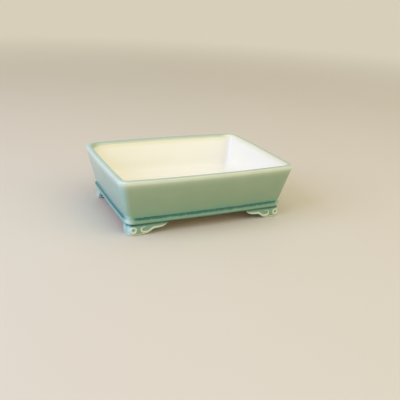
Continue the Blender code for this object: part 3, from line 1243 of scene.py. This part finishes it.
@dataclass(frozen=True)
class FloorSlab:
    """Floor of the tray with its drain holes and its holes for tie wires."""

    plan: TrayPlan
    glaze: Glaze

    # Edge under the walls.
    edge_inset: float = 0.0084
    step_inset: float = 0.01248
    corner_steps: int = 10
    side_steps: int = 24

    # Holes.
    drain_diameter: float = 0.013
    drain_spacing: float = 0.066
    wire_diameter: float = 0.0035
    wire_spacing_x: float = 0.092
    wire_spacing_y: float = 0.046
    hole_rounding: float = 0.0009
    hole_sides: int = 64
    hole_levels: int = 25
    bore_rise: float = 0.5

    # Edge of the glaze on the bare clay.
    clay_line: float = 0.0004
    clay_depth: float = 0.0012
    clay_scale: float = 700.0

    def _outline(self, inset: float) -> list[tuple[float, float]]:
        """Plan of the slab, anticlockwise from the front left corner.

        Args:
            inset: Inset of its edge from the rim.

        Returns:
            Points of the plan.
        """
        plan = self.plan
        radius = plan.inner_corner
        outline = []
        for side in Side:
            half_run = (plan.half_length if side.is_long else plan.half_width) - inset
            half_depth = (plan.half_width if side.is_long else plan.half_length) - inset
            bow = (plan.long_bow if side.is_long else plan.short_bow) * plan.base_bow_share
            row = []
            for step in range(self.side_steps):
                share = mix(-1.0, 1.0, step / self.side_steps)
                row.append(((half_run - radius) * share, half_depth + bow * plan.belly(share)))
            for step in range(self.corner_steps):
                angle = math.pi / 2 * step / self.corner_steps
                along = half_run - radius * (1.0 - math.sin(angle))
                row.append((along, half_depth - radius * (1.0 - math.cos(angle))))
            turn = Matrix.Rotation(side.turn, 2)
            shift = Vector((plan.base_shift, 0.0))
            outline += [tuple(turn @ Vector((along, -out)) + shift) for along, out in row]
        return outline

    def _slab(self) -> bpy.types.Mesh:
        """Solid slab with the ledge that the walls stand on.

        Returns:
            Closed mesh.
        """
        plan = self.plan
        levels = (
            (self.edge_inset, plan.floor_underside),
            (self.edge_inset, plan.ledge),
            (self.step_inset, plan.ledge),
            (self.step_inset, plan.floor_top),
        )
        rows = [[(x, y, height) for x, y in self._outline(inset)] for inset, height in levels]
        count = len(rows[0])
        points = [point for row in rows for point in row]
        top = len(points) - count
        faces = [tuple(range(count))[::-1], tuple(range(top, top + count))]
        for level in range(len(levels) - 1):
            for index in range(count):
                after = (index + 1) % count
                low = level * count
                faces.append((low + index, low + after, low + count + after, low + count + index))
        mesh = bpy.data.meshes.new("floor_blank")
        mesh.from_pydata(points, [], faces)
        return mesh

    def rule(self) -> Rule:
        """Rule that bores holes with rounded rims through the slab.

        Returns:
            Tree that takes the solid slab.
        """
        rule = Rule("bored_floor")
        top = rule.size("Top")
        underside = rule.size("Underside")
        rounding = rule.size("Rounding")
        sides = rule.size("Sides", "NodeSocketInt")
        levels = rule.size("Levels", "NodeSocketInt")
        half_spacing = rule.size("Drain Spacing") * 0.5
        sockets = {
            "Count": 2,
            "Start Location": rule.vector(-half_spacing, 0.0, 0.0),
            "Offset": rule.vector(half_spacing, 0.0, 0.0),
        }
        drains = rule.field("GeometryNodeMeshLine", {"mode": "END_POINTS"}, sockets)
        sockets = {
            "Size X": rule.size("Wire Spacing X"),
            "Size Y": rule.size("Wire Spacing Y"),
            "Vertices X": 2,
            "Vertices Y": 2,
        }
        wires = rule.field("GeometryNodeMeshGrid", None, sockets)
        share = rule.line_share(levels)
        height = rule.blend(underside - rounding, top + rounding * self.bore_rise, share)
        lip = rounding * rule.round_over(rule.linear(height, top - rounding, top))
        circle = rule.field("GeometryNodeCurvePrimitiveCircle", None, {"Resolution": sides, "Radius": 1.0})
        drilled = rule.given
        settings = {"operation": "DIFFERENCE", "solver": "EXACT"}
        for points, radius in ((drains, rule.size("Drain Radius")), (wires, rule.size("Wire Radius"))):
            line = rule.store(rule.line(levels, (0.0, 0.0, 1.0)), "bore", radius + lip)
            rail = rule.curve(rule.move(line, rule.vector(0.0, 0.0, height)))
            bore = rule.sweep(rail, circle, rule.stored("bore"))
            bores = rule.field("GeometryNodeInstanceOnPoints", None, {"Points": points, "Instance": bore})
            sockets = {"Mesh 1": drilled, "Mesh 2": rule.real(bores)}
            drilled = rule.field("GeometryNodeMeshBoolean", settings, sockets)
        rule.close(drilled)
        return rule

    def dress(self) -> bpy.types.Material:
        """Cream white on top and bare clay underneath.

        Returns:
            The finish.
        """
        glaze = self.glaze
        shader = glaze.start("cream_floor_glaze")
        height = shader.parts(shader.place)[2]
        edge = shader.noise(shader.place, self.clay_scale, detail=2.0) * self.clay_line
        low = self.plan.floor_top - self.clay_depth
        bare = 1.0 - shader.smooth(height + edge, low, low + self.clay_line)
        # Painted shade darkens the cream on the floor.
        cream = glaze.inner(shader, self.plan.floor_top)
        return glaze.wear(
            shader,
            colour=shader.tint(cream, glaze.bare(shader), bare),
            roughness=shader.blend(glaze.inner_gloss, glaze.clay_roughness, bare),
            coat=shader.blend(glaze.inner_coat, 0.0, bare),
        )

    def build(self) -> bpy.types.Object:
        """Make the floor.

        Returns:
            The finished floor.
        """
        sizes = {
            "Finish": self.dress(),
            "Top": self.plan.floor_top,
            "Underside": self.plan.floor_underside,
            "Rounding": self.hole_rounding,
            "Sides": self.hole_sides,
            "Levels": self.hole_levels,
            "Drain Spacing": self.drain_spacing,
            "Drain Radius": self.drain_diameter / 2,
            "Wire Spacing X": self.wire_spacing_x,
            "Wire Spacing Y": self.wire_spacing_y,
            "Wire Radius": self.wire_diameter / 2,
        }
        floor = self.rule().make("glazed_floor", self._slab(), sizes)
        face_outwards(floor.data)
        shade_by_area(floor.data, SHARP)
        return attach(floor, Slot.FLOOR, "floor_slab")


@dataclass(frozen=True)
class Foot:
    """Corner foot with a long and a short arm and scrolls raised on its long face.

    Lengths along a face are measured from the outer corner of the foot.
    """

    glaze: Glaze

    # Place of the corners.
    corner_x: float = 0.0678
    corner_y: float = 0.0466
    shift_x: float = 0.0013

    # Upright section.
    height: float = 0.0101
    thickness: float = 0.005
    corner_radius: float = 0.0052
    bulge_share: float = 0.35
    top_tuck: float = 0.0012
    sole_tuck: float = 0.0004
    edge_rounding: float = 0.0008

    # Lower edge of the long arm.
    heel: float = 0.0135
    tail_tip: float = 0.0337
    tail_end_height: float = 0.0011
    heel_rise: float = 0.0043
    heel_rise_length: float = 0.009
    sweep_power: float = 7.0

    # Short arm and its rounded end.
    short_flat: float = 0.0078
    short_length: float = 0.0116
    short_end_angle: float = math.radians(82)
    end_rounding: tuple[float, float] = (0.0025, 0.0012)
    end_limit: float = 0.98

    # Scrolls.
    relief: float = 0.0008
    ridge_zone: tuple[float, float] = (0.2, 1.3)
    coil_half_width: float = 0.00095
    tail_half_width: float = 0.0011
    tail_settle: float = 0.004
    tip_share: float = 0.5
    taper_power: int = 4
    ring_along: float = 0.0049
    ring_radius: float = 0.0021
    curl_along: float = 0.0134
    curl_radius: float = 0.0022
    scroll_height: float = 0.0047
    curl_angles: tuple[float, float] = (math.radians(55), math.radians(270))

    # Steps of the mesh.
    columns: int = 320
    rows: int = 64
    top_steps: int = 6
    back_steps: int = 10
    scroll_steps: int = 96
    merge_distance: float = 0.000002

    # Where the glaze runs thin, and the hollows behind, where pooled glaze and painted shade darken it.
    pale_zone: tuple[float, float] = (0.6, 1.35)
    pale_edge: tuple[float, float] = (0.0011, 0.0022)
    # Paleness of the short faces: partly thin glaze, partly painted light.
    side_pale: float = 0.55
    corner_pale: float = 0.8
    corner_reach: float = 0.8
    hollow_depth: tuple[float, float] = (0.15, 0.5)
    hollow_height: tuple[float, float] = (0.0012, 0.0026)

    # Thickness of the glaze, deeper under the bead and in the hollows with pooled glaze and painted shade.
    face_glaze: float = 0.56
    pale_glaze: float = 0.42
    hollow_glaze: float = 0.36
    under_bead_glaze: float = 0.62
    under_bead_zone: tuple[float, float] = (0.66, 0.9)
    flecks: float = 0.25

    # Bare sole.
    sole_line: float = 0.0003
    sole_soft: float = 0.4
    sole_scale: float = 900.0

    @property
    def middle(self) -> float:
        """Length along a face at the middle of its rounded corner."""
        return self.corner_radius * (1.0 - math.pi / 4)

    @property
    def short_end(self) -> float:
        """Length along the short face at which its rounded end stops."""
        return mix(self.short_flat, self.short_length, math.sin(self.short_end_angle))

    def _section(self) -> bpy.types.Mesh:
        """Upright section as shares of the height and of the thickness.

        Returns:
            Closed loop of edges.
        """
        front = [(step / self.rows, 0.0) for step in range(self.rows)]
        top = [(1.0, step / self.top_steps) for step in range(self.top_steps)]
        back = [(1.0 - step / self.back_steps, 1.0) for step in range(self.back_steps)]
        sole = [(0.0, 1.0 - step / self.top_steps) for step in range(self.top_steps)]
        points = front + top + back + sole
        columns = {"rise": [rise for rise, _ in points], "depth": [depth for _, depth in points]}
        flat = [(depth, rise, 0.0) for rise, depth in points]
        return loop_mesh("foot_section", flat, columns)

    def _tail_outline(self, along: float) -> float:
        """Height of the long arm's lower edge, for the scroll that follows it.

        Args:
            along: Length along the long face.

        Returns:
            Height.
        """
        run = max(along - self.heel, 0.0)
        sweep = self.height - self.tail_end_height - self.heel_rise
        rise = sweep * (run / (self.tail_tip - self.heel)) ** self.sweep_power
        return self.heel_rise * smooth_step(run / self.heel_rise_length) + rise

    def _long_scroll(self) -> ScrollLine:
        """Curl that runs out along the tail.

        Returns:
            Length along the face, height and half width of each point.
        """
        line = []
        for step in range(self.scroll_steps + 1):
            share = step / self.scroll_steps
            turn = mix(*self.curl_angles, share)
            along = self.curl_along + self.curl_radius * math.cos(turn)
            height = self.scroll_height + self.curl_radius * math.sin(turn)
            width = self.coil_half_width * mix(self.tip_share, 1.0, smooth_step(share))
            line.append((along, height, width))
        curl_bottom = self.scroll_height - self.curl_radius
        for step in range(1, self.scroll_steps + 1):
            share = step / self.scroll_steps
            along = mix(self.curl_along, self.tail_tip - self.tail_half_width, share)
            settle = smooth_step((along - self.curl_along) / self.tail_settle)
            height = self._tail_outline(along) + mix(curl_bottom, self.tail_half_width, settle)
            taper = mix(1.0, self.tip_share, share ** self.taper_power)
            width = mix(self.coil_half_width, self.tail_half_width, settle) * taper
            line.append((along, height, width))
        return line

    def _ring(self) -> ScrollLine:
        """Ring beside the corner.

        Returns:
            Length along the face, height and half width of each point.
        """
        line = []
        for step in range(self.scroll_steps + 1):
            turn = 2.0 * math.pi * step / self.scroll_steps
            along = self.ring_along + self.ring_radius * math.cos(turn)
            height = self.scroll_height + self.ring_radius * math.sin(turn)
            line.append((along, height, self.coil_half_width))
        return line

    def _scrolls(self) -> bpy.types.Object:
        """Lines of the scrolls on the unrolled faces, the long arm to the right of the corner.

        Returns:
            Object that holds the lines and the half widths of their points.
        """
        points = []
        edges = []
        for line in (self._long_scroll(), self._ring()):
            start = len(points)
            edges += [(start + index, start + index + 1) for index in range(len(line) - 1)]
            points += line
        mesh = bpy.data.meshes.new("scroll_lines")
        mesh.from_pydata([(along - self.middle, height, 0.0) for along, height, _ in points], edges, [])
        store_column(mesh, "half_width", [width for _, _, width in points])
        return add_object("scroll_lines", mesh)

    def rule(self) -> Rule:
        """Rule that shapes a straight bar into a foot and raises its scrolls.

        Returns:
            Tree whose section stores rise and depth on its points.
        """
        rule = Rule("scroll_foot")
        scrolls = rule.size("Scrolls", "NodeSocketObject")
        columns = rule.size("Columns", "NodeSocketInt")
        foot_height = rule.size("Height")
        thickness = rule.size("Thickness")
        radius = rule.size("Corner Radius")
        bulge = rule.size("Bulge Height")
        top_tuck = rule.size("Top Tuck")
        sole_tuck = rule.size("Sole Tuck")
        relief = rule.size("Relief")
        rounding = rule.size("Edge Rounding")
        hand = rule.size("Hand")
        facing = rule.size("Facing")
        place = rule.size("Place", "NodeSocketVector")
        bar = rule.bar(columns)
        run = rule.blend(self.middle - self.short_end, self.tail_tip - self.middle, rule.stored("place"))
        along = rule.math("ABSOLUTE", run) + self.middle
        is_short = rule.math("LESS_THAN", run, 0.0)
        long_edge = self._long_edge(rule, along, foot_height)
        lower = rule.blend(long_edge, self._short_edge(rule, along, foot_height), is_short)
        height = rule.blend(lower, foot_height, rule.stored("rise"))
        widths_away = self._scroll_distance(rule, scrolls, rule.vector(run, height, 0.0))
        ridge = 1.0 - rule.smooth(widths_away, *self.ridge_zone)
        lip = 1.0 - rule.linear(height - lower, 0.0, rounding)
        end_run, end_depth = self.end_rounding
        end_lip = is_short * rule.linear(along, self.short_end - end_run, self.short_end) * self.end_limit
        edge_sink = rounding * rule.round_over(lip) + end_depth * rule.round_over(end_lip)
        tuck = top_tuck * rule.linear(height, bulge, foot_height) ** 2.0
        tuck = tuck + sole_tuck * (1.0 - rule.linear(height, 0.0, bulge)) ** 2.0
        reach = radius - tuck - edge_sink + ridge * relief
        turn = rule.math("MAXIMUM", radius - along, 0.0) / radius
        depth = rule.stored("depth")
        front_x = rule.math("MAXIMUM", along, radius) - reach * rule.math("SINE", turn)
        front_y = radius - reach * rule.math("COSINE", turn)
        x = rule.blend(front_x, rule.math("MAXIMUM", along, thickness), depth)
        y = rule.blend(front_y, thickness, depth)
        local = rule.vector(
            hand * facing * rule.blend(x, y, is_short),
            facing * rule.blend(y, x, is_short),
            height,
        )
        scroll = 1.0 - rule.smooth(widths_away, *self.pale_zone)
        edge = 1.0 - rule.smooth(height - lower, *self.pale_edge)
        pale = rule.math("MAXIMUM", scroll, edge)
        pale = rule.math("MAXIMUM", pale, self._pale_corner(rule, along, is_short))
        # Painted shade, partly pooled glaze, in the hollows behind and on the end faces.
        hollow = rule.smooth(depth, *self.hollow_depth) * rule.smooth(height, *self.hollow_height)
        glazed = rule.store(bar, "pale", pale * (1.0 - hollow))
        glazed = rule.store(glazed, "hollow", hollow)
        placed = rule.move(glazed, rule.vector_math("ADD", local, place))
        sockets = {"Geometry": placed, "Distance": self.merge_distance}
        rule.close(rule.field("GeometryNodeMergeByDistance", None, sockets))
        return rule

    def _long_edge(self, rule: Rule, along: Field, foot_height: Field) -> Field:
        """Height of the long arm's lower edge, flat to the heel and then an S up to the tip.

        Args:
            rule: Rule of the foot.
            along: Length along the face.
            foot_height: Height of the foot.

        Returns:
            Height.
        """
        run = rule.math("MAXIMUM", along - self.heel, 0.0)
        sweep = foot_height - self.tail_end_height - self.heel_rise
        rise = sweep * (run / (self.tail_tip - self.heel)) ** self.sweep_power
        return self.heel_rise * rule.smooth(run, 0.0, self.heel_rise_length) + rise

    def _short_edge(self, rule: Rule, along: Field, foot_height: Field) -> Field:
        """Height of the short arm's lower edge, flat and then a quarter ellipse."""
        share = rule.linear(along, self.short_flat, self.short_length)
        return foot_height * rule.round_over(share)

    def _pale_corner(self, rule: Rule, along: Field, is_short: Field) -> Field:
        """How thin the glaze runs on the rounded corner and on the short face, whose paleness is partly
        painted light.

        Args:
            rule: Rule of the foot.
            along: Length along the face.
            is_short: 1 on the short arm and 0 on the long arm.

        Returns:
            Paleness from 0 to 1.
        """
        # Painted light, partly thin glaze: the short face is paler.
        lit_side_face = is_short * rule.smooth(along, self.middle, self.corner_radius) * self.side_pale
        corner_end = self.corner_radius * self.corner_reach
        corner = (1.0 - rule.smooth(along, self.middle, corner_end)) * self.corner_pale
        return rule.math("MAXIMUM", lit_side_face, corner)

    def _scroll_distance(self, rule: Rule, scrolls: Field, spot: Field) -> Field:
        """Distance from the nearest scroll line.

        Args:
            rule: Rule of the foot.
            scrolls: Object that holds the lines.
            spot: Spot on the unrolled faces.

        Returns:
            Distance in half widths of the line.
        """
        lines = rule.field("GeometryNodeObjectInfo", None, {"Object": scrolls}, "Geometry")
        sockets = {"Geometry": lines, "Sample Position": spot}
        distance = rule.field("GeometryNodeProximity", {"target_element": "EDGES"}, sockets, "Distance")
        nearest = rule.field("GeometryNodeSampleNearest", {"domain": "POINT"}, sockets)
        sockets = {"Geometry": lines, "Value": rule.stored("half_width"), "Index": nearest}
        width = rule.field("GeometryNodeSampleIndex", {"data_type": "FLOAT", "domain": "POINT"}, sockets)
        return distance / width

    def dress(self) -> bpy.types.Material:
        """Celadon that is pale on the scrolls and edges, deeper with pooled glaze and painted shade under
        the bead and in the hollows, with a bare sole.

        Returns:
            The finish.
        """
        glaze = self.glaze
        shader = glaze.start("celadon_foot_glaze")
        height = shader.parts(shader.place)[2]
        # Painted shade under the bead, partly pooled glaze.
        low, high = (share * self.height for share in self.under_bead_zone)
        under_bead_shade = shader.smooth(height, low, high) * self.under_bead_glaze
        thickness = self.face_glaze + under_bead_shade + shader.attribute("hollow") * self.hollow_glaze
        thickness = thickness - shader.attribute("pale") * self.pale_glaze
        wave = shader.noise(shader.place, self.sole_scale, detail=2.0) * self.sole_line * self.sole_soft
        bare = 1.0 - shader.smooth(height, wave, wave + self.sole_line * self.sole_soft)
        # Painted window light: a bluer tint on the left end.
        glazed = glaze.cast(shader, glaze.colour(shader, thickness, self.flecks), thickness)
        return glaze.wear(
            shader,
            colour=shader.tint(glazed, glaze.bare(shader), bare),
            roughness=shader.blend(glaze.gloss, glaze.clay_roughness, bare),
            coat=shader.blend(glaze.coat, 0.0, bare),
        )

    def build(self) -> list[bpy.types.Object]:
        """Make the four feet.

        Returns:
            The finished feet.
        """
        rule = self.rule()
        scrolls = self._scrolls()
        finish = self.dress()
        feet = []
        for corner in Corner:
            place_x = self.shift_x - corner.hand * corner.facing * self.corner_x
            sizes = {
                "Finish": finish,
                "Scrolls": scrolls,
                "Columns": self.columns,
                "Height": self.height,
                "Thickness": self.thickness,
                "Corner Radius": self.corner_radius,
                "Bulge Height": self.bulge_share * self.height,
                "Top Tuck": self.top_tuck,
                "Sole Tuck": self.sole_tuck,
                "Relief": self.relief,
                "Edge Rounding": self.edge_rounding,
                "Hand": float(corner.hand),
                "Facing": float(corner.facing),
                "Place": (place_x, -corner.facing * self.corner_y, 0.0),
            }
            foot = rule.make(f"scrolled_foot_{corner.label}", self._section(), sizes)
            face_outwards(foot.data)
            foot.data.set_sharp_from_angle(angle=SHARP)
            kinds = ("foot", "ring_scroll", "long_scroll")
            nodes = [f"{kind}_{corner.label}" for kind in kinds]
            feet.append(attach(foot, Slot.FOOT, *nodes))
        bpy.data.objects.remove(scrolls)
        return feet


@dataclass(frozen=True)
class SoftLamp:
    """Square soft light that looks at the pot."""

    name: str
    place: tuple[float, float, float]
    size: float
    power: float
    colour: tuple[float, float, float]

    def build(self, aim: Vector) -> None:
        """Hang the light.

        Args:
            aim: Point that it looks at.
        """
        lamp = bpy.data.lights.new(self.name, "AREA")
        lamp.shape = "SQUARE"
        lamp.size = self.size
        lamp.energy = self.power
        lamp.color = self.colour
        item = add_object(self.name, lamp)
        item.location = self.place
        item.rotation_euler = (aim - Vector(self.place)).to_track_quat("-Z", "Y").to_euler()


@dataclass(frozen=True)
class Studio:
    """Pale floor, soft lights and the camera."""

    # Floor and air.
    ground: Colour = srgb(222, 212, 191)
    ground_shade: Colour = (0.97, 0.965, 0.95, 1.0)
    ground_roughness: float = 0.9
    ground_radius: float = 6.0
    ground_sides: int = 96
    tone_scale: float = 9.0
    fade: tuple[float, float] = (0.45, 1.6)
    air: Colour = srgb(216, 207, 187)
    sky: tuple[float, float, float] = (1.0, 0.96, 0.88)
    sky_strength: float = 0.465

    # Camera.
    aim: tuple[float, float, float] = (0.01271, -0.00593, 0.00560)
    azimuth: float = math.radians(-25.967)
    elevation: float = math.radians(21.501)
    roll: float = math.radians(3.258)
    distance: float = 0.475643
    lens: float = 48.938
    sensor: float = 36.0

    # Lamps.
    lamps: tuple[SoftLamp, ...] = (
        SoftLamp("window", (-1.0, -0.16, 0.62), 0.9, 14.3, (0.386, 0.468, 0.815)),
        SoftLamp("overhead", (0.15, -0.35, 1.1), 1.6, 6.3, (0.97, 0.95, 0.84)),
        SoftLamp("fill", (0.8, -0.93, 0.45), 1.3, 4.3, (1.0, 0.9, 0.5)),
    )

    def _seen(self, graph: Graph) -> Field:
        """1 for rays from the camera and in reflections, and 0 for light.

        Args:
            graph: Tree that asks.

        Returns:
            1 or 0.
        """
        rays = graph.node("ShaderNodeLightPath")
        names = ("Is Camera Ray", "Is Glossy Ray", "Is Transmission Ray")
        camera, glossy, through = (Field(graph, rays.outputs[name]) for name in names)
        return graph.math("MINIMUM", camera + glossy + through, 1.0)

    def build_floor(self) -> None:
        """Round floor that fades into the plain air far from the pot."""
        radius = self.ground_radius
        turns = np.linspace(0.0, 2.0 * math.pi, self.ground_sides, endpoint=False)
        points = [(radius * math.cos(turn), radius * math.sin(turn), 0.0) for turn in turns]
        mesh = bpy.data.meshes.new("studio_floor")
        mesh.from_pydata(points, [], [tuple(range(self.ground_sides))])
        shader = Shader("pale_floor", {"Roughness": self.ground_roughness})
        tone = shader.noise(shader.place, self.tone_scale, detail=3.0)
        shade = tuple(full * share for full, share in zip(self.ground, self.ground_shade))
        shader.wear({"Base Color": shader.tint(self.ground, shade, tone)})
        x, y, _ = shader.parts(shader.place)
        away = shader.smooth(shader.math("SQRT", x * x + y * y), *self.fade)
        air = shader.node("ShaderNodeEmission", None, {"Color": self.air})
        sockets = {0: away * self._seen(shader), 1: shader.surface.outputs[0], 2: air.outputs[0]}
        both = shader.node("ShaderNodeMixShader", None, sockets)
        shader.plug(shader.output.inputs["Surface"], both.outputs[0])
        mesh.materials.append(shader.material)
        floor = add_object("studio_floor", mesh)

    def build_air(self) -> None:
        """Plain air that lights the pot softly and shows as the pale backdrop."""
        world = bpy.data.worlds.new("plain_air")
        world.use_nodes = True
        bpy.context.scene.world = world
        graph = Graph(world.node_tree)
        graph.tree.nodes.clear()
        sockets = {"Color": (*self.sky, 1.0), "Strength": self.sky_strength}
        light = graph.node("ShaderNodeBackground", None, sockets)
        seen = graph.node("ShaderNodeBackground", None, {"Color": self.air, "Strength": 1.0})
        sockets = {0: self._seen(graph), 1: light.outputs[0], 2: seen.outputs[0]}
        both = graph.node("ShaderNodeMixShader", None, sockets)
        graph.node("ShaderNodeOutputWorld", None, {"Surface": both.outputs[0]})

    def build_camera(self) -> None:
        """Camera at the angle of the photograph."""
        flat = math.cos(self.elevation)
        rise = math.sin(self.elevation)
        back = Vector((math.sin(self.azimuth) * flat, -math.cos(self.azimuth) * flat, rise))
        level = Vector((math.cos(self.azimuth), math.sin(self.azimuth), 0.0))
        upright = back.cross(level)
        right = level * math.cos(self.roll) + upright * math.sin(self.roll)
        up = upright * math.cos(self.roll) - level * math.sin(self.roll)
        lens = bpy.data.cameras.new("camera")
        lens.lens = self.lens
        lens.sensor_width = self.sensor
        camera = add_object("camera", lens)
        turn = Matrix((right, up, back)).transposed().to_4x4()
        camera.matrix_world = Matrix.Translation(Vector(self.aim) + back * self.distance) @ turn
        bpy.context.scene.camera = camera

    def build(self) -> None:
        """Set up the camera, floor and lights."""
        bpy.context.scene.view_settings.view_transform = "Standard"
        self.build_camera()
        self.build_floor()
        self.build_air()
        for lamp in self.lamps:
            lamp.build(Vector(self.aim))


def main() -> None:
    """Build the pot and its studio."""
    logging.basicConfig(level=logging.INFO, format="%(name)s: %(message)s")
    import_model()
    plan = TrayPlan()
    glaze = Glaze()
    Studio().build()
    side_rule = plan.side_rule()
    pieces = Walls(plan, glaze).build(side_rule)
    pieces += Beads(plan, glaze).build(side_rule)
    pieces.append(FloorSlab(plan, glaze).build())
    pieces += Foot(glaze).build()
    for piece in pieces:
        LOG.info("%s: %d faces", piece.name, len(piece.data.polygons))


if __name__ == "__main__":
    main()
